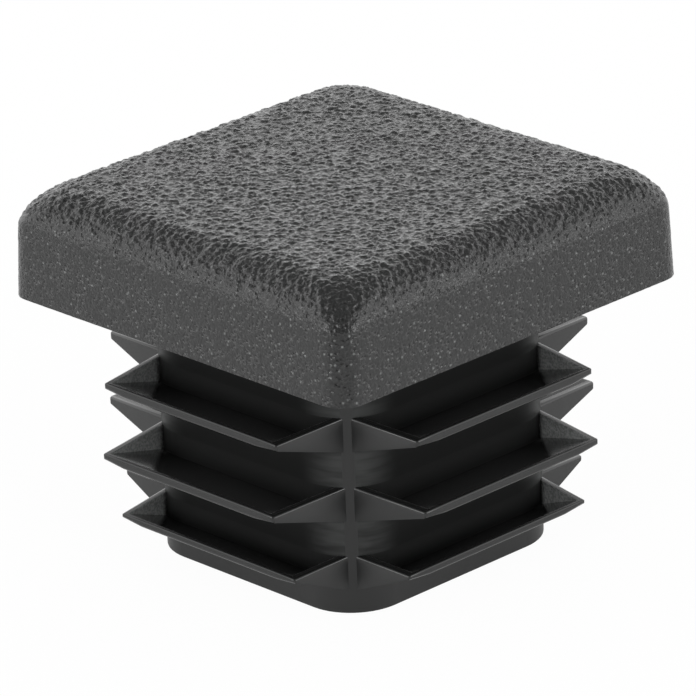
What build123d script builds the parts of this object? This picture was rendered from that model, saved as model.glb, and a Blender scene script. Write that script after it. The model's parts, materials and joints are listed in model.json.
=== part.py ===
from build123d import *
import math
import os

# End cap for a square tube, moulded in one piece: a square head that covers the
# end of the tube, and a hollow insert with fins that spring against the bore.
# +Z is up. The origin is at the middle of the insert's open end, on which the
# cap can stand. All sizes are in millimetres and degrees.

# the tube that the cap closes
tube_side = 20.0
tube_wall = 1.5

# head, as wide as the tube
head_height = 4.85
head_draft = 2.0  # lean of the four sides
head_edge_radius = 1.9  # soft edge round the top face
head_corner_radius = 1.05  # upright corners, where the head meets the tube
head_top_corner_radius = 2.1  # the same corners where they run out on the top face
head_roof = 2.2  # wall between the hollow and the top face

# insert
insert_clearance = 2.15  # room for the fins, between the insert and the bore
insert_wall = 1.2
insert_corner_radius = 2.4
insert_end_radius = 0.15  # eases the outer edge of the open end
core_draft = 0.5  # lean of the hollow's walls
core_end_radius = 0.5  # round the closed end of the hollow

# fins: on each side of the insert, one shallow tray at each level
fin_squeezes = [0.7, 1.0, 0.05]  # lip past the bore's wall, from the head down
lip_heights = [0.4, 0.4, 0.3]
first_rim_drop = 2.77  # from the underside of the head to the first fins' rims
fin_pitch = 3.07
plain_end = 2.59  # from the last fins' rims to the open end
fin_depth = 1.53  # height of a fin where it leaves the insert
rim_fall = 0.2  # how far the rim falls on its way out to the lip
lip_land = 0.1  # flat top of the lip
lip_corner_radius = 0.1
plate_thickness = 0.32
web_thickness = 0.3  # upright webs that close the ends of a fin
web_lean = 6.2  # how far a web turns in from square to the insert's side
corner_post = 0.36  # bare corner left between the webs of two sides
fin_root = 0.8  # how deep the fins are rooted in the insert's wall

sides = 4
bore = tube_side - 2 * tube_wall
insert_side = bore - 2 * insert_clearance
insert_length = first_rim_drop + (len(fin_squeezes) - 1) * fin_pitch + plain_end
round_over_steps = 7


def rounded_square(side, radius, height):
    return Plane.XY.offset(height) * RectangleRounded(side, side, radius)


def make_head():
    """Sides that lean in, then roll over to the top face as the corners soften."""
    draft = math.radians(head_draft)
    shoulder = head_height - head_edge_radius * (1 - math.sin(draft))
    shoulder_side = tube_side - 2 * shoulder * math.tan(draft)
    top_side = shoulder_side - 2 * head_edge_radius * math.cos(draft)
    foot = rounded_square(tube_side, head_corner_radius, insert_length)

    sections = []
    for step in range(round_over_steps):
        turn = draft + (math.pi / 2 - draft) * step / (round_over_steps - 1)
        side = top_side + 2 * head_edge_radius * math.cos(turn)
        rise = head_height - head_edge_radius * (1 - math.sin(turn))
        softening = (head_top_corner_radius - head_corner_radius) * (1 - math.cos(turn))
        radius = head_corner_radius + softening
        sections.append(rounded_square(side, radius, insert_length + rise))
    return loft([foot, sections[0]], ruled=True) + loft(sections)


def make_insert():
    block = extrude(
        rounded_square(insert_side, insert_corner_radius, 0), insert_length
    )
    return fillet(block.faces().sort_by(Axis.Z)[0].edges(), insert_end_radius)


def make_hollow():
    """The moulding core: it runs up the insert and into the head."""
    mouth = rounded_square(
        insert_side - 2 * insert_wall, insert_corner_radius - insert_wall, 0
    )
    core = extrude(mouth, insert_length + head_height - head_roof, taper=core_draft)
    return fillet(core.faces().sort_by(Axis.Z)[-1].edges(), core_end_radius)


def web_root():
    """Where a web leaves the insert's rounded corner, on the side that faces -Y."""
    centre = insert_side / 2 - insert_corner_radius
    turn = math.radians(45) + corner_post / 2 / insert_corner_radius
    return (
        centre + insert_corner_radius * math.cos(turn),
        centre + insert_corner_radius * math.sin(turn),
    )


def fin_wedge(inset, section):
    """A block with the given section through Y and Z, cut off by the webs' planes."""
    root_x, root_y = web_root()
    lean = math.tan(math.radians(web_lean))
    lip = -min(y for y, z in section)
    back = -max(y for y, z in section)
    lip_x = root_x - (lip - root_y) * lean - inset
    back_x = root_x - (back - root_y) * lean - inset
    plan = Polyline(
        (-back_x, -back), (back_x, -back), (lip_x, -lip), (-lip_x, -lip), close=True
    )
    slab = make_face(Plane.YZ * Polyline(*section, close=True))
    column = extrude(make_face(plan), insert_length)
    return column & extrude(slab, insert_side, both=True)


def make_fin(reach, rim_z, lip_height):
    """A shallow tray on the -Y side: a plate that rises to its lip, and two webs."""
    root_y = web_root()[1]
    back = insert_side / 2 - fin_root
    rim_slope = rim_fall / (reach - root_y)
    plate_slope = (fin_depth - rim_fall - lip_height) / (reach - root_y)
    lip_z = rim_z - rim_fall
    back_top_z = rim_z + (root_y - back) * rim_slope
    back_under_z = rim_z - fin_depth - (root_y - back) * plate_slope
    tray_lip = reach - lip_land
    above = back_top_z + lip_height

    outside = fin_wedge(
        0,
        [
            (-reach, lip_z),
            (-reach, lip_z - lip_height),
            (-back, back_under_z),
            (-back, back_top_z),
        ],
    )
    inside = fin_wedge(
        web_thickness,
        [
            (-tray_lip, above),
            (-tray_lip, lip_z),
            (-back, back_under_z + plate_thickness),
            (-back, above),
        ],
    )
    lip_corners = outside.edges().filter_by(Axis.Z).sort_by(Axis.Y)[:2]
    return fillet(lip_corners, lip_corner_radius) - inside


def make_end_cap():
    cap = make_head() + make_insert()
    for level, (squeeze, lip_height) in enumerate(zip(fin_squeezes, lip_heights)):
        rim_z = insert_length - first_rim_drop - level * fin_pitch
        fin = make_fin(bore / 2 + squeeze, rim_z, lip_height)
        for side in range(sides):
            cap += Rot(0, 0, side * 360 / sides) * fin
    return cap - make_hollow()


os.makedirs("parts", exist_ok=True)
end_cap = make_end_cap()
export_step(end_cap, "parts/end_cap.step")
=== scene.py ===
import json
import math

import bmesh
import bpy
from mathutils import Matrix, Vector

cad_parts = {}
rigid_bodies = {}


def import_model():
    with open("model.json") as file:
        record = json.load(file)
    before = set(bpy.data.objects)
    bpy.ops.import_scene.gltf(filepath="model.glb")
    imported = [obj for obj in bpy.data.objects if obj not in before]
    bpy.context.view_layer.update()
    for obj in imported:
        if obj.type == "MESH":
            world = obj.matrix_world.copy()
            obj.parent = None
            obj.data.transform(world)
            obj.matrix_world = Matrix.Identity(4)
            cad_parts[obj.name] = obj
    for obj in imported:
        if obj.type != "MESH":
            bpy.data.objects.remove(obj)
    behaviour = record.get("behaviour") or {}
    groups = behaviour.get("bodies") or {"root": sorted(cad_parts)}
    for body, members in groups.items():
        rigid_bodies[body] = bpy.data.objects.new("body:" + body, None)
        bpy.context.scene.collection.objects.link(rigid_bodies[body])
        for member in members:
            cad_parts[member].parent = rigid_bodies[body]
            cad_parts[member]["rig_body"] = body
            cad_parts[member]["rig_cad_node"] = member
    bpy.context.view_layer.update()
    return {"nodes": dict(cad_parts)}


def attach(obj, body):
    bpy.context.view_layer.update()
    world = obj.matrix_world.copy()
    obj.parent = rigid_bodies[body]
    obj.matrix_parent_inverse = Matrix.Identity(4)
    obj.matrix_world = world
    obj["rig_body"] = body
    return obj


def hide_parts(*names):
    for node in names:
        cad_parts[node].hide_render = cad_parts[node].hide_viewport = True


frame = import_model()
capNode = frame["nodes"]["end_cap"]
mm = 0.001
print("frame loaded")


# helpers for work in edit mode, which take and give millimetres

def openPiece(piece, name=None):
    bpy.ops.object.select_all(action="DESELECT")
    piece.select_set(True)
    bpy.context.view_layer.objects.active = piece
    if name:
        piece.name = piece.data.name = name
    bpy.ops.object.mode_set(mode="EDIT")


def closePiece():
    bpy.ops.object.mode_set(mode="OBJECT")
    return bpy.context.object


def addBlock(name, low, high):  # stays open for editing
    bpy.ops.object.select_all(action="DESELECT")
    middle = [(a + b) / 2 * mm for a, b in zip(low, high)]
    size = [(b - a) * mm for a, b in zip(low, high)]
    bpy.ops.mesh.primitive_cube_add(size=1, location=middle, scale=size)
    bpy.ops.object.transform_apply(location=True, rotation=True, scale=True)
    openPiece(bpy.context.object, name)


def pick(kind, wanted):  # kind is VERT, EDGE or FACE; wanted judges each one
    bpy.ops.mesh.select_mode(type=kind)
    edited = bmesh.from_edit_mesh(bpy.context.object.data)
    edited.normal_update()
    parts = {"VERT": edited.verts, "EDGE": edited.edges, "FACE": edited.faces}[kind]
    found = [part for part in parts if wanted(part)]
    for part in [*edited.faces, *edited.edges, *edited.verts]:
        part.select_set(False)
    for part in found:
        part.select_set(True)
    edited.select_flush_mode()
    bmesh.update_edit_mesh(bpy.context.object.data)


def middleOf(part):
    return sum((v.co for v in part.verts), Vector()) / len(part.verts) / mm


def shift(y=0, z=0):
    bpy.ops.transform.translate(value=(0, y * mm, z * mm))


def extrudeBy(z):
    bpy.ops.mesh.extrude_region_move(TRANSFORM_OT_translate={"value": (0, 0, z * mm)})


def mergeDoubles():
    bpy.ops.mesh.select_all(action="SELECT")
    bpy.ops.mesh.remove_doubles(threshold=1e-6)


def cutBelow(height, fill):
    bpy.ops.mesh.select_all(action="SELECT")
    bpy.ops.mesh.bisect(
        plane_co=(0, 0, height * mm),
        plane_no=(0, 0, 1),
        clear_inner=True,
        use_fill=fill,
        threshold=1e-7,
    )


def sharpenRound(wanted):  # the border of these faces stays crisp
    pick("FACE", wanted)
    bpy.ops.mesh.region_to_loop()
    bpy.ops.mesh.mark_sharp()


def useModifier(piece, kind, **settings):
    modifier = piece.modifiers.new(kind.title(), kind)
    for setting, value in settings.items():
        setattr(modifier, setting, value)
    bpy.context.view_layer.objects.active = piece
    bpy.ops.object.modifier_apply(modifier=modifier.name)


# head: the cap's own skin, closed underneath, with its moulded grain raised on it

headForm = {
    "underside": 11.5,
    "hollowHalf": 5.4,  # the skin inside this is the hollow's, and goes
    "hollowTop": 14.6,
    "socketInset": 4.5,  # the insert's closed end sits in a socket in the head
    "socketDepth": 2.9,
    "socketHalf": 6.5,  # room round the socket, which stays plain
    "socketTop": 15,
    "skirt": 0.6,  # left on below the underside until the grain is raised
    "voxel": 0.16,
    "fineFrom": 0.12,  # faces that look up more than this get twice the mesh
    "grainFrom": 0.2,  # where the grain starts to deepen, as faces look up
    "grainRise": 0.5,  # and how much more they look up where it is full
    "sideGrain": 0.2,  # share of its depth that it has on the sides
    "pebbleSize": 0.4,
    "pebbleDepth": 0.065,
    "pebbleFlatness": 5.0,
    "grainSize": 0.19,
    "grainDepth": 0.105,
}


def inHollow(place):
    half = max(abs(place.x), abs(place.y))
    return half < headForm["hollowHalf"] and place.z < headForm["hollowTop"]


def inSocket(place):
    half = max(abs(place.x), abs(place.y))
    return half < headForm["socketHalf"] and place.z < headForm["socketTop"]


def closeSkin():  # a plain underside, with a skirt to spare and the insert's socket
    mergeDoubles()
    cutBelow(headForm["underside"] + 0.001, fill=False)
    pick("FACE", lambda f: inHollow(middleOf(f)))
    bpy.ops.mesh.delete(type="FACE")
    pick("EDGE", lambda e: e.is_boundary)
    bpy.ops.mesh.edge_face_add()
    bpy.ops.mesh.normals_make_consistent(inside=False)
    pick("FACE", lambda f: f.normal.z < -0.9)
    extrudeBy(-headForm["skirt"])
    bpy.ops.mesh.inset(thickness=headForm["socketInset"] * mm)
    extrudeBy(headForm["socketDepth"] + headForm["skirt"])


def refineTop():  # more faces where the grain is deep, and few where there is none
    pick("FACE", lambda f: f.normal.z > headForm["fineFrom"])
    bpy.ops.mesh.subdivide(number_cuts=1)
    pick("FACE", lambda f: f.normal.z < -0.95 or inSocket(middleOf(f)))
    bpy.ops.mesh.dissolve_limited(angle_limit=math.radians(1))


def weighGrain(head):
    grained = head.vertex_groups.new(name="grained")
    side = headForm["sideGrain"]
    for v in head.data.vertices:
        facing = (v.normal.z - headForm["grainFrom"]) / headForm["grainRise"]
        share = side + (1 - side) * min(1, max(0, facing))
        if v.normal.z < -0.5 or inSocket(v.co / mm):
            share = 0
        grained.add([v.index], share, "REPLACE")


def raiseGrain(head, name, kind, size, depth, level, **settings):
    grain = bpy.data.textures.new(name, kind)
    grain.noise_scale = size * mm
    for setting, value in settings.items():
        setattr(grain, setting, value)
    useModifier(
        head,
        "DISPLACE",
        texture=grain,
        texture_coords="LOCAL",
        vertex_group="grained",
        mid_level=level,
        strength=depth * mm,
    )


def makeHead():
    head = capNode.copy()
    head.data = capNode.data.copy()
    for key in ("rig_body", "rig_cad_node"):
        del head[key]
    bpy.context.scene.collection.objects.link(head)
    head.parent = None
    openPiece(head, "head")
    closeSkin()
    closePiece()

    useModifier(head, "REMESH", mode="VOXEL", voxel_size=headForm["voxel"] * mm)
    useModifier(head, "SMOOTH", factor=0.5, iterations=3)
    openPiece(head)
    refineTop()
    closePiece()

    weighGrain(head)
    useModifier(head, "SMOOTH", factor=0.5, iterations=2, vertex_group="grained")
    raiseGrain(head, "pebbles", "VORONOI", headForm["pebbleSize"], headForm["pebbleDepth"], 1.0,
               weight_1=-1, weight_2=1, noise_intensity=headForm["pebbleFlatness"],
               use_clamp=True)
    raiseGrain(head, "mouldGrain", "CLOUDS", headForm["grainSize"], headForm["grainDepth"], 0.9,
               noise_basis="ORIGINAL_PERLIN", noise_depth=1)
    head.data.shade_smooth()

    openPiece(head)  # the skirt goes, and leaves a crisp lower edge
    cutBelow(headForm["underside"], fill=True)
    justAbove = headForm["underside"] + 0.01
    sharpenRound(lambda f: f.normal.z < -0.99 and middleOf(f).z < justAbove)
    return closePiece()


# insert: a hollow square body, and three levels of fins on each side

insertForm = {
    "side": 12.7,
    "length": 11.5,
    "corner": 2.4,
    "cornerSteps": 14,
    "wall": 1.2,
    "hollowDepth": 14.15,
    "hollowLean": 0.5,  # degrees
    "hollowRound": 0.5,
    "roof": 0.6,  # over the hollow, inside the head
    "endEdge": 0.07,
    "smoothBelow": 35,  # degrees between faces that shade as one
}

finForm = {
    "lips": [9.2, 9.5, 8.55],  # from the middle, the level by the head first
    "lipHeights": [0.4, 0.4, 0.3],
    "firstRim": 2.77,  # under the head
    "pitch": 3.07,
    "depth": 1.53,
    "rimFall": 0.2,
    "lipLand": 0.14,
    "plate": 0.32,
    "web": 0.34,
    "webLean": 6.2,  # degrees
    "post": 0.36,
    "root": 0.8,
    "nose": 0.1,  # rounding of the lip's outer edges
    "rimRound": 0.1,  # and of the webs' outer edges
    "edge": 0.04,  # and of the webs' inner edges
    "tipLength": 1.2,  # the lip thins towards its ends
    "tipRise": 0.12,
    "recessHalf": 5.6,  # the dark wall goes this far along a side
    "recessInTray": 5.45,  # or this far, inside a tray
    "recessBelow": 1.2,  # and this far under the last rims
}

finishes = {name: bpy.data.materials.new(name) for name in (
    "satinPlastic", "recessPlastic", "blastedPaintedLightPlastic", "polishedPlastic", "rimPlastic")}
slots = list(finishes)


def addFinishes(piece):
    for finish in finishes.values():
        piece.data.materials.append(finish)


def giveFinish(name, wanted):
    pick("FACE", wanted)
    bpy.context.object.active_material_index = slots.index(name)
    bpy.ops.object.material_slot_assign()


def makeBody():
    half = insertForm["side"] / 2
    depth = insertForm["hollowDepth"]
    addBlock("insert", (-half, -half, 0), (half, half, depth + insertForm["roof"]))
    pick("EDGE", lambda e: abs((e.verts[0].co - e.verts[1].co).z) > mm)
    bpy.ops.mesh.bevel(offset=insertForm["corner"] * mm, segments=insertForm["cornerSteps"],
                       affect="EDGES")
    pick("FACE", lambda f: f.normal.z < -0.9)
    bpy.ops.mesh.bevel(offset=insertForm["endEdge"] * mm, segments=3, affect="EDGES")

    pick("FACE", lambda f: f.normal.z < -0.99)  # the hollow goes in from the open end
    bpy.ops.mesh.inset(thickness=(insertForm["wall"] - insertForm["endEdge"]) * mm)
    extrudeBy(depth)
    mouth = half - insertForm["wall"]
    taper = (mouth - math.tan(math.radians(insertForm["hollowLean"])) * depth) / mouth
    bpy.ops.transform.resize(value=(taper, taper, 1), center_override=(0, 0, depth * mm))
    bpy.ops.mesh.bevel(offset=insertForm["hollowRound"] * mm, segments=4, affect="EDGES")
    body = closePiece()
    addFinishes(body)
    return body


def webRoot():  # where a web leaves the body's rounded corner
    corner = insertForm["corner"]
    middle = insertForm["side"] / 2 - corner
    turn = math.radians(45) + finForm["post"] / 2 / corner
    return middle + corner * math.cos(turn), middle + corner * math.sin(turn)


def weigh(size, wanted):  # how much of the widest rounding an edge gets
    pick("EDGE", lambda e: (e.is_manifold and e.is_convex and e.calc_face_angle(0) > 0.3
                            and wanted(e)))
    bpy.ops.transform.edge_bevelweight(value=size / finForm["rimRound"])


def makeFin(level):  # on the side that faces -Y
    lip = finForm["lips"][level]
    lipHeight = finForm["lipHeights"][level]
    rim = insertForm["length"] - finForm["firstRim"] - level * finForm["pitch"]
    rootX, rootY = webRoot()
    back = insertForm["side"] / 2 - finForm["root"]
    lean = math.tan(math.radians(finForm["webLean"]))
    lipX, backX = (rootX - (y - rootY) * lean for y in (lip, back))
    rimSlope = finForm["rimFall"] / (lip - rootY)
    plateSlope = (finForm["depth"] - finForm["rimFall"] - lipHeight) / (lip - rootY)
    backTop = rim + (rootY - back) * rimSlope
    backUnder = rim - finForm["depth"] - (rootY - back) * plateSlope
    lipTop = rim - finForm["rimFall"]

    # a block that narrows to the lip
    addBlock("fin", (-backX, -lip, backUnder), (backX, -back, backTop))
    pick("FACE", lambda f: f.normal.y < -0.9)
    squeeze = (lipX / backX, 1, lipHeight / (backTop - backUnder))
    bpy.ops.transform.resize(value=squeeze, center_override=(0, -lip * mm, backTop * mm))
    shift(z=lipTop - backTop)

    # the tray's outline, moved outwards until the lip's land is left
    pick("FACE", lambda f: f.normal.z > 0.9)
    bpy.ops.mesh.inset(thickness=finForm["web"] * mm)
    outwards = finForm["web"] - finForm["lipLand"]
    pick("VERT", lambda v: 0.1 < v.co.y / mm + lip < 0.5)
    narrow = 1 - outwards * lean / lipX
    bpy.ops.transform.resize(value=(narrow, 1, 1), center_override=(0, 0, 0))
    shift(y=-outwards, z=-outwards * rimSlope)

    # its floor, which starts at the lip and falls towards the back
    pick("FACE", lambda f: (f.normal.z > 0.9 and abs(middleOf(f).x) < 1
                            and -lip + 0.5 < middleOf(f).y < -back - 0.5))
    extrudeBy(0)
    trayLip = lip - finForm["lipLand"]
    trayBack = back + finForm["web"]
    floor = lipTop + (
        (backUnder + finForm["plate"] - lipTop) * (trayLip - trayBack) / (trayLip - back))
    pick("VERT", lambda v: v.select and v.co.y / mm > -trayBack - 0.2)
    shift(z=floor - (backTop - rimSlope * finForm["web"]))
    mergeDoubles()

    # the lip's ends, thinned from below
    for end in (-1, 1):
        bpy.ops.mesh.select_all(action="SELECT")
        bpy.ops.mesh.bisect(plane_co=(end * (lipX - finForm["tipLength"]) * mm, 0, 0),
                            plane_no=(1, 0, 0))
    front = -lip + 0.01
    low = lipTop - lipHeight + 0.01
    pick("VERT", lambda v: (v.co.y / mm < front and v.co.z / mm < low
                            and abs(v.co.x) / mm > lipX - 0.1))
    shift(z=finForm["tipRise"])

    def atFront(e):
        return all(v.co.y / mm < front for v in e.verts)

    def alongWeb(e):
        return abs(e.verts[0].co.y - e.verts[1].co.y) > mm and middleOf(e).z > lipTop

    webLine = (lipX + backX) / 2 - finForm["web"] / 2
    weigh(finForm["nose"], atFront)
    weigh(finForm["edge"], lambda e: alongWeb(e) and abs(middleOf(e).x) < webLine)
    weigh(finForm["rimRound"], lambda e: alongWeb(e) and abs(middleOf(e).x) > webLine)
    fin = closePiece()
    addFinishes(fin)
    useModifier(fin, "BEVEL", width=finForm["rimRound"] * mm, segments=3, limit_method="WEIGHT",
                material=slots.index("rimPlastic"))

    def onFloor(f):
        rimHere = lipTop + (middleOf(f).y + lip) * rimSlope
        return middleOf(f).z < rimHere - 0.1 and (f.normal.z > 0.3 or f.normal.y > 0.5)

    openPiece(fin)
    giveFinish("polishedPlastic", onFloor)
    # the webs' inner faces, which carry painted light
    giveFinish("blastedPaintedLightPlastic", lambda f: f.normal.x * middleOf(f).x < -0.8)
    return closePiece()


def onWall(f):  # the body's wall, from the head to a little under the last rims
    half, corner = insertForm["side"] / 2, insertForm["corner"]
    near, far = sorted((abs(middleOf(f).x), abs(middleOf(f).y)))
    fromCorner = math.hypot(far - half + corner, near - half + corner)
    onFlat = near < half - corner and abs(far - half) < 0.02
    onCorner = near > half - corner and abs(fromCorner - corner) < 0.03

    height = middleOf(f).z
    drop = insertForm["length"] - height - finForm["firstRim"]
    inTray = drop > 0 and 0 < drop % finForm["pitch"] < finForm["depth"]
    reach = finForm["recessInTray" if inTray else "recessHalf"]
    allRims = finForm["firstRim"] + (len(finForm["lips"]) - 1) * finForm["pitch"]
    lowest = insertForm["length"] - allRims - finForm["recessBelow"]
    return (onFlat or onCorner) and near < reach and lowest < height < insertForm["length"]


def makeInsert():
    body = makeBody()
    fins = []
    for level in range(len(finForm["lips"])):
        fin = makeFin(level)
        for side in range(4):
            twin = fin.copy()
            twin.data = fin.data.copy()
            bpy.context.scene.collection.objects.link(twin)
            twin.rotation_euler.z = math.radians(90 * side)
            fins.append(twin)
        bpy.data.objects.remove(fin)
    bpy.ops.object.select_all(action="DESELECT")
    for fin in fins:
        fin.select_set(True)
    bpy.context.view_layer.objects.active = fins[0]
    bpy.ops.object.transform_apply(location=True, rotation=True, scale=True)
    bpy.ops.object.join()
    useModifier(body, "BOOLEAN", operation="UNION", object=fins[0], solver="EXACT")
    bpy.data.objects.remove(fins[0])

    openPiece(body)
    giveFinish("recessPlastic", onWall)
    for name in ("recessPlastic", "blastedPaintedLightPlastic", "polishedPlastic"):
        sharpenRound(lambda f: f.material_index == slots.index(name))
    closePiece()
    bpy.ops.object.shade_smooth_by_angle(angle=math.radians(insertForm["smoothBelow"]))
    return body


head = makeHead()
print("head", len(head.data.polygons))
insert = makeInsert()
print("insert", len(insert.data.polygons))


# materials: one dark plastic, grained on the head and satin on the insert

headLook = {
    "roughness": 0.2,
    "topColour": (0.014, 0.0144, 0.0142, 1),
    "topFrom": (0.5, 0.95),  # how far faces look up where this colour fades in
    "topShare": 0.6,
    "speckDark": (0.004, 0.0041, 0.0041, 1),
    "speckLight": (0.014, 0.0144, 0.0142, 1),
    "speckTones": (0.36, 0.66),  # of the noise, where the specks turn light
    "speckSize": 0.1,
    "speckDepth": 0.03,
    # pits: small dents, bumped in, and painted dark in colour, which is painted shade in them
    "pitShade": (0.002, 0.002, 0.002, 1),
    "pitSpacing": 0.25,
    "pitRadius": 0.085,
    "pitDepth": 0.03,
    # glints: small bright dots in the colour, a painted highlight in place of the grain's sparkle
    "paintedGlint": (0.09, 0.0927, 0.0914, 1),
    "glintSpacing": 0.36,
    "glintRadius": 0.055,
    "glintsMoved": (3.1, 7.7, 5.3),  # so that they don't lie on the pits
    "dotFade": (0.4, 1.3),  # in radii, of pits and glints alike
}

insertLook = {
    "roughness": 0.42,
    "colour": (0.006, 0.0062, 0.0061, 1),
    "rippleScale": 1.2,
    "rippleDepth": 0.02,
    "rimRoughness": 0.14,
    "recessRoughness": 0.4,
    "recessGloss": 0.1,
    # a little lighter than the plastic: a touch of painted light in the trays' shade
    "recessColour": (0.008, 0.0082, 0.0081, 1),
    "wallColour": (0.006, 0.0062, 0.0061, 1),
    "wallFrom": (0.45, 0.55),  # down from a rim, as a share of the pitch
    # painted light: a lighter colour on the wall towards the corners, above the rims
    "paintedCornerLight": (0.025, 0.0258, 0.0254, 1),
    "cornerLightFrom": (3.4, 5.2),  # along a side, from its middle
    "streakScale": (0.5, 0.5, 4.0),
    "streakTones": (0.3, 0.6),
    "streakShare": (0.4, 1.0),  # least and most of the painted corner light
    "polishedRoughness": 0.14,
    "polishedGloss": 0.9,
    "paintedFloorLight": (0.075, 0.0773, 0.0761, 1),  # painted light on the trays' floors, by the webs
    "floorLightFrom": (4.2, 5.0),  # along a side
    "blastedRoughness": 0.5,
    # painted light on the webs' insides: both colours are far lighter than the plastic
    "paintedWebDark": (0.06, 0.0618, 0.061, 1),
    "paintedWebLight": (0.13, 0.1339, 0.1321, 1),
    "webShadeFrom": (5.4, 6.0),  # outwards from the cap's middle, where the painted shade by the wall fades out
}


def feed(material, socket, value):  # by a link, or as a plain value
    if isinstance(value, bpy.types.NodeSocket):
        material.node_tree.links.new(value, socket)
    else:
        socket.default_value = value


def addNode(material, kind, inputs=(), **settings):
    node = material.node_tree.nodes.new(kind)
    for setting, value in settings.items():
        setattr(node, setting, value)
    for name, value in dict(inputs).items():
        feed(material, node.inputs[name], value)
    return node


def addMath(material, operation, *values):
    numbered = dict(enumerate(values))
    return addNode(material, "ShaderNodeMath", numbered, operation=operation).outputs[0]


def fade(material, value, span, to=(0.0, 1.0), kind="SMOOTHSTEP"):
    ends = {"From Min": span[0], "From Max": span[1], "To Min": to[0], "To Max": to[1]}
    ranged = addNode(material, "ShaderNodeMapRange", {"Value": value, **ends},
                     interpolation_type=kind)
    return ranged.outputs["Result"]


def blendColour(material, share, first, second):
    mixed = addNode(material, "ShaderNodeMix", {0: share, 6: first, 7: second}, data_type="RGBA")
    return mixed.outputs[2]


def addNoise(material, point, scale, detail):
    noise = addNode(material, "ShaderNodeTexNoise",
                    {"Vector": point, "Scale": scale, "Detail": detail, "Roughness": 0.5})
    return noise.outputs["Fac"]


def addBump(material, height, depth, strength=1.0, **settings):
    return addNode(material, "ShaderNodeBump",
                   {"Height": height, "Distance": depth * mm, "Strength": strength}, **settings)


def startPlastic(material, colour, roughness):
    material.use_nodes = True
    shader = material.node_tree.nodes["Principled BSDF"]
    shader.inputs["Base Color"].default_value = colour
    shader.inputs["Roughness"].default_value = roughness
    return shader


def inMillimetres(material):
    place = addNode(material, "ShaderNodeTexCoord")
    scaled = addNode(material, "ShaderNodeMapping",
                     {"Vector": place.outputs["Object"], "Scale": (1000, 1000, 1000)})
    return scaled.outputs["Vector"]


def addSpecks(material, point, dark, light):
    specks = addNoise(material, point, 1 / headLook["speckSize"], detail=1.0)
    tone = fade(material, specks, headLook["speckTones"], kind="LINEAR")
    return specks, blendColour(material, tone, dark, light)


def addDots(material, point, spacing, radius):  # 1 in the middle of each dot, 0 away from it
    cells = addNode(material, "ShaderNodeTexVoronoi", {"Vector": point, "Scale": 1 / spacing})
    span = [share * radius / spacing for share in headLook["dotFade"]]
    return fade(material, cells.outputs["Distance"], span, to=(1.0, 0.0), kind="LINEAR")


def fromMiddle(material, point, which):  # MINIMUM is along a side, MAXIMUM is outwards
    parts = addNode(material, "ShaderNodeSeparateXYZ", {"Vector": point})
    across = [addMath(material, "ABSOLUTE", parts.outputs[axis]) for axis in ("X", "Y")]
    return addMath(material, which, *across)


def makeHeadPlastic():
    look = headLook
    plastic = bpy.data.materials.new("grainedPlastic")
    shader = startPlastic(plastic, look["topColour"], look["roughness"])
    point = inMillimetres(plastic)
    specks, ground = addSpecks(plastic, point, look["speckDark"], look["speckLight"])
    pits = addDots(plastic, point, look["pitSpacing"], look["pitRadius"])
    moved = addNode(plastic, "ShaderNodeMapping",
                    {"Vector": point, "Location": look["glintsMoved"]})
    glints = addDots(plastic, moved.outputs["Vector"], look["glintSpacing"], look["glintRadius"])
    # the pits' dark colour is painted shade
    pitted = blendColour(plastic, pits, ground, look["pitShade"])
    # the glints are painted highlights
    colour = blendColour(plastic, glints, pitted, look["paintedGlint"])

    place = addNode(plastic, "ShaderNodeTexCoord")
    facing = addNode(plastic, "ShaderNodeSeparateXYZ", {"Vector": place.outputs["Normal"]})
    upward = fade(plastic, facing.outputs["Z"], look["topFrom"], to=(0.0, look["topShare"]),
                  kind="LINEAR")
    toned = blendColour(plastic, upward, colour, look["topColour"])
    feed(plastic, shader.inputs["Base Color"], toned)

    fine = addBump(plastic, specks, look["speckDepth"])
    sunk = addBump(plastic, pits, look["pitDepth"], invert=True)
    feed(plastic, sunk.inputs["Normal"], fine.outputs["Normal"])
    feed(plastic, shader.inputs["Normal"], sunk.outputs["Normal"])
    return plastic


def makeSatin():  # the webs' outsides, the corners and the open end
    plastic = finishes["satinPlastic"]
    shader = startPlastic(plastic, insertLook["colour"], insertLook["roughness"])
    ripple = addNoise(plastic, inMillimetres(plastic), insertLook["rippleScale"], detail=3.0)
    bump = addBump(plastic, ripple, insertLook["rippleDepth"], strength=0.6)
    feed(plastic, shader.inputs["Normal"], bump.outputs["Normal"])


def makeRecess():  # dark in the trays, lighter above their rims and towards the corners; the lighter part is painted light, in streaks
    look = insertLook
    plastic = finishes["recessPlastic"]
    shader = startPlastic(plastic, look["recessColour"], look["recessRoughness"])
    shader.inputs["Specular IOR Level"].default_value = look["recessGloss"]
    point = inMillimetres(plastic)
    height = addNode(plastic, "ShaderNodeSeparateXYZ", {"Vector": point}).outputs["Z"]
    drop = addMath(plastic, "SUBTRACT", insertForm["length"] - finForm["firstRim"], height)
    levels = addMath(plastic, "DIVIDE", drop, finForm["pitch"])
    between = fade(plastic, addMath(plastic, "FRACT", levels), look["wallFrom"])

    stretched = addNode(plastic, "ShaderNodeMapping",
                        {"Vector": point, "Scale": look["streakScale"]})
    streaks = addNoise(plastic, stretched.outputs["Vector"], 1.0, detail=2.0)
    uneven = fade(plastic, streaks, look["streakTones"], to=look["streakShare"], kind="LINEAR")
    # painted light towards the corners, in streaks, only above the rims
    byCorner = fade(plastic, fromMiddle(plastic, point, "MINIMUM"), look["cornerLightFrom"])
    corner = addMath(plastic, "MULTIPLY", byCorner, uneven)
    wall = blendColour(plastic, corner, look["wallColour"], look["paintedCornerLight"])
    colour = blendColour(plastic, between, look["recessColour"], wall)
    feed(plastic, shader.inputs["Base Color"], colour)


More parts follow.
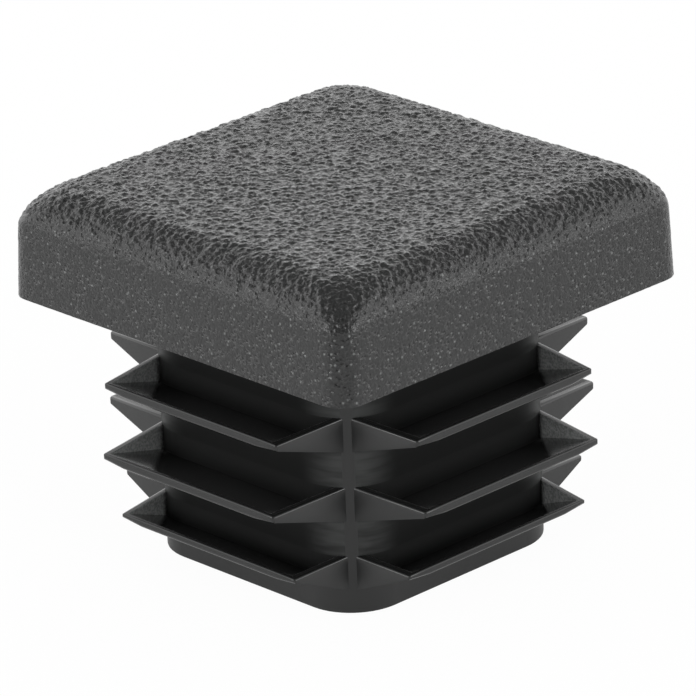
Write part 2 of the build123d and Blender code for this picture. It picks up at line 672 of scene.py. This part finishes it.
def makeBlastedWithPaintedLight():  # the webs' insides: a rough blasted finish, with a colour far lighter than the plastic, which is painted light, and painted shade near the wall
    look = insertLook
    plastic = finishes["blastedPaintedLightPlastic"]
    shader = startPlastic(plastic, look["paintedWebDark"], look["blastedRoughness"])
    point = inMillimetres(plastic)
    speckled = addSpecks(plastic, point, look["paintedWebDark"], look["paintedWebLight"])[1]
    outwards = fade(plastic, fromMiddle(plastic, point, "MAXIMUM"), look["webShadeFrom"])
    colour = blendColour(plastic, outwards, look["paintedWebDark"], speckled)
    feed(plastic, shader.inputs["Base Color"], colour)


def makePolished():  # the trays' floors, glossy, lighter beside the webs, which is painted light
    look = insertLook
    plastic = finishes["polishedPlastic"]
    shader = startPlastic(plastic, look["recessColour"], look["polishedRoughness"])
    shader.inputs["Specular IOR Level"].default_value = look["polishedGloss"]
    along = fromMiddle(plastic, inMillimetres(plastic), "MINIMUM")
    # painted light on the floor beside the webs
    byWeb = fade(plastic, along, look["floorLightFrom"])
    colour = blendColour(plastic, byWeb, look["recessColour"], look["paintedFloorLight"])
    feed(plastic, shader.inputs["Base Color"], colour)


head.data.materials.clear()
head.data.materials.append(makeHeadPlastic())
makeSatin()
makeRecess()
makeBlastedWithPaintedLight()
makePolished()
startPlastic(finishes["rimPlastic"], insertLook["colour"], insertLook["rimRoughness"])
for piece in (head, insert):
    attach(piece, "root")
    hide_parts("end_cap")
print("materials ready")


# studio: a white floor, and a surround that is bright low down and dark overhead and in front

studio = {
    "floorSize": 3.0,
    "floorWhite": 0.96,  # share of plain white that is seen, and the rest shows the shadow
    "floorMirrored": 0.3,  # and the share that is seen in reflections
    "floorColour": (0.95, 0.95, 0.95, 1),
    "bright": 1.75,
    "boxes": 5.0,  # small soft boxes to the left and right of the camera
    "boxTurn": 64,  # degrees round from the camera
    "boxRise": 0.08,
    "boxReach": (0.955, 0.985),  # where they fade in, as a cosine
    "lampTurn": 38,  # wide lamps, which fill the fins' trays with no gloss of their own
    "lampRise": 12,
    "lampPower": (2.1, 1.8),
    "lampWidth": 20,
    "dark": 0.34,
    "overhead": (0.35, 0.85),  # height at which the surround starts to darken, and is dark
    "inFront": (0.2, 0.9),  # and how far round to the front
}

view = {
    "azimuth": 46.252,
    "elevation": 21.91,
    "roll": -2.221,
    "distance": 258.726,
    "right": -0.011,
    "up": -2.698,
    "focalPixels": 6199.294,
    "imagePixels": 696,
    "sensorWidth": 36,
}


def makeCamera():
    azimuth, elevation, roll = (math.radians(view[k]) for k in ("azimuth", "elevation", "roll"))
    back = Vector((math.sin(azimuth) * math.cos(elevation),
                   -math.cos(azimuth) * math.cos(elevation), math.sin(elevation)))
    right = Vector((math.cos(azimuth), math.sin(azimuth), 0))
    up = back.cross(right)
    aim = Vector((0, 0, insertForm["length"])) + right * view["right"] + up * view["up"]
    rolledRight = right * math.cos(roll) + up * math.sin(roll)
    rolledUp = up * math.cos(roll) - right * math.sin(roll)
    turn = Matrix((rolledRight, rolledUp, back)).transposed().to_4x4()
    bpy.ops.object.camera_add()
    camera = bpy.context.object
    camera.matrix_world = Matrix.Translation((aim + back * view["distance"]) * mm) @ turn
    camera.data.sensor_width = view["sensorWidth"]
    camera.data.lens = view["focalPixels"] / view["imagePixels"] * view["sensorWidth"]
    camera.data.clip_start = 0.01
    camera.data.clip_end = 10
    bpy.context.scene.camera = camera


def makeFloor():
    bpy.ops.mesh.primitive_plane_add(size=studio["floorSize"])
    floor = bpy.context.object
    floor.name = "floor"
    paint = bpy.data.materials.new("whiteFloor")
    paint.use_nodes = True
    nodes = paint.node_tree.nodes
    nodes.remove(nodes["Principled BSDF"])
    matt = addNode(paint, "ShaderNodeBsdfDiffuse", {"Color": studio["floorColour"]})
    glow = addNode(paint, "ShaderNodeEmission", {"Strength": 1.0})
    rays = addNode(paint, "ShaderNodeLightPath").outputs
    mirrored = addMath(paint, "MAXIMUM", rays["Is Glossy Ray"], rays["Is Transmission Ray"])
    share = addMath(paint, "MULTIPLY", mirrored, studio["floorMirrored"])
    seen = addMath(paint, "MULTIPLY_ADD", rays["Is Camera Ray"], studio["floorWhite"], share)
    both = addNode(paint, "ShaderNodeMixShader",
                   {0: seen, 1: matt.outputs[0], 2: glow.outputs[0]})
    feed(paint, nodes["Material Output"].inputs["Surface"], both.outputs[0])
    floor.data.materials.append(paint)


def makeSurround():
    world = bpy.data.worlds.new("surround")
    bpy.context.scene.world = world
    world.use_nodes = True
    azimuth = math.radians(view["azimuth"])
    direction = addNode(world, "ShaderNodeTexCoord").outputs["Generated"]

    def shadeTowards(aim, span, levels):
        reach = addNode(world, "ShaderNodeVectorMath", {0: direction, 1: aim},
                        operation="DOT_PRODUCT")
        return fade(world, reach.outputs["Value"], span, to=levels)

    darkening = (studio["bright"], studio["dark"])
    above = shadeTowards((0, 0, 1), studio["overhead"], darkening)
    front = shadeTowards((math.sin(azimuth), -math.cos(azimuth), 0), studio["inFront"], darkening)
    level = addMath(world, "MINIMUM", above, front)
    for hand in (-1, 1):
        turned = azimuth + hand * math.radians(studio["boxTurn"])
        aim = Vector((math.sin(turned), -math.cos(turned), studio["boxRise"])).normalized()
        box = shadeTowards(aim, studio["boxReach"], (0.0, studio["boxes"]))
        level = addMath(world, "MAXIMUM", level, box)
    background = world.node_tree.nodes["Background"]
    background.inputs["Color"].default_value = (1, 1, 1, 1)
    feed(world, background.inputs["Strength"], level)


def makeLamps():
    rise = math.radians(studio["lampRise"])
    for hand, power in zip((-1, 1), studio["lampPower"]):
        turned = math.radians(view["azimuth"] + hand * studio["lampTurn"])
        towards = Vector((math.sin(turned) * math.cos(rise),
                          -math.cos(turned) * math.cos(rise), math.sin(rise)))
        bpy.ops.object.light_add(type="SUN", rotation=towards.to_track_quat("Z", "Y").to_euler())
        lamp = bpy.context.object
        lamp.data.energy = power
        lamp.data.angle = math.radians(studio["lampWidth"])
        lamp.visible_glossy = False


makeCamera()
makeFloor()
makeSurround()
makeLamps()
bpy.context.scene.view_settings.view_transform = "Standard"
print("studio ready")
